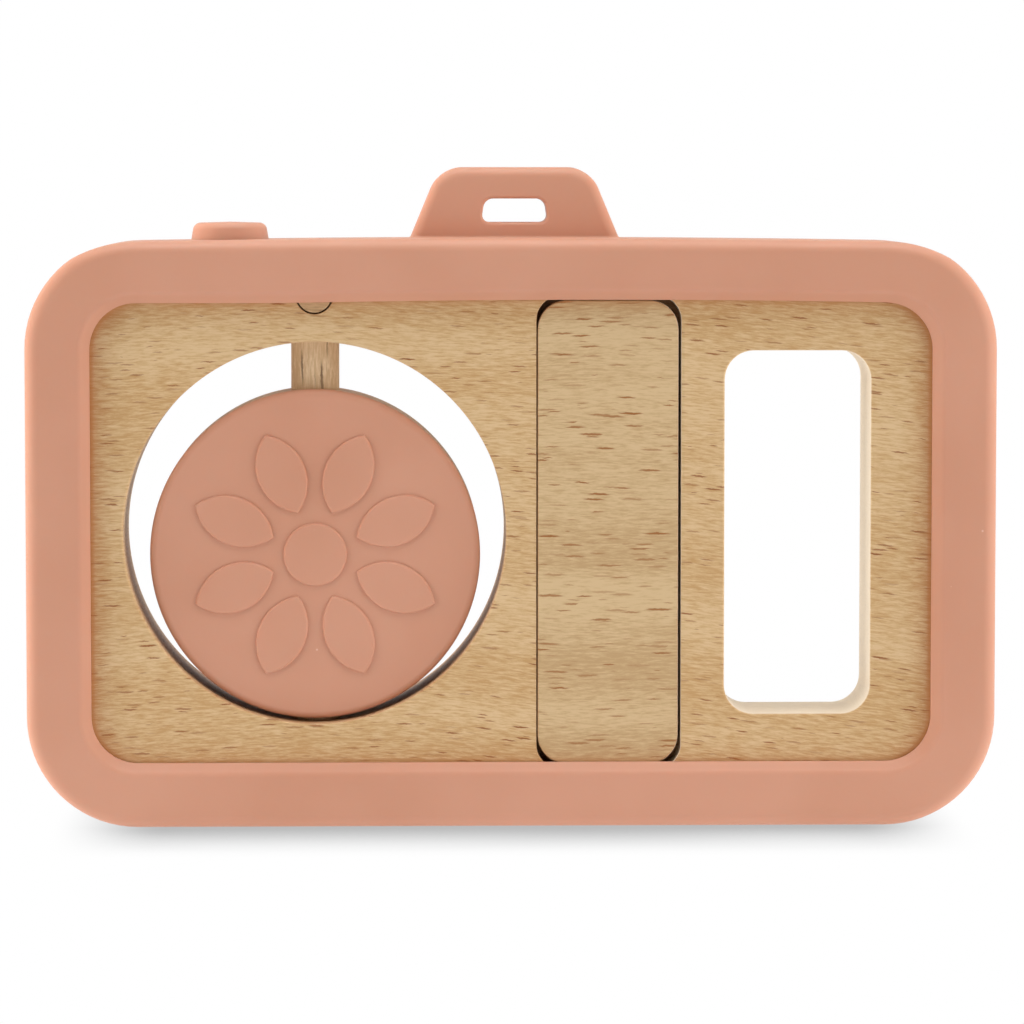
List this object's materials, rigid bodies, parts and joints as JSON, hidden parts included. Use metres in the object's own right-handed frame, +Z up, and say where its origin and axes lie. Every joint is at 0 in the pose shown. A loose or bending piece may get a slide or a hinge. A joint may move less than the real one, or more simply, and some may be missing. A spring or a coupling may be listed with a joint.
{
  "type": "toy camera",
  "caption": "Flat wooden toy camera in a soft silicone bumper with a strap lug, a lens disc that spins on a dowel, a sliding front knob, a see-through viewfinder and a press button.",
  "frame": {"origin": "centre of the flat underside of the bumper, that the toy stands on", "axes": "+X along the width, from the lens to the viewfinder as seen from the back; +Y from the back face to the front face; +Z up"},
  "size_m": [0.14, 0.0251, 0.0954],
  "materials": {
    "beech_plate": "sanded and oiled",
    "beech_cover": "sanded and oiled",
    "beech_dowel": "turned, raw",
    "silicone": "moulded, matt"
  },
  "bodies": {
    "camera_body": {"body_plate": "beech_plate", "bumper": "silicone", "back_cover": "beech_cover", "axle_peg": "beech_dowel", "button_dome": "silicone"},
    "axle": {"lens_axle": "beech_dowel"},
    "disc": {"lens_core": "beech_plate", "lens_back_cap": "silicone", "lens_front_cap": "silicone"},
    "slider": {"slider_knob": "beech_plate", "slider_shoe": "beech_dowel"},
    "button": {"shutter_button": "silicone"}
  },
  "joints": [
    {"name": "lens_spin", "type": "hinge", "parent": "camera_body", "child": "axle", "pos_m": [-0.0284, 0, 0.0425], "axis": [0, 0, 1], "continuous": true},
    {"name": "lens_float", "type": "slide", "parent": "axle", "child": "disc", "axis": [0, 0, 1], "range_m": [0, 0.0058]},
    {"name": "slider_travel", "type": "slide", "parent": "camera_body", "child": "slider", "axis": [0, 0, 1], "range_m": [0, 0.036]},
    {"name": "shutter_press", "type": "slide", "parent": "camera_body", "child": "button", "axis": [0, 0, -1], "range_m": [0, 0.0015], "stiffness_N_per_m": 400, "springref_m": -0.0008, "deforming": ["button_dome"]}
  ]
}
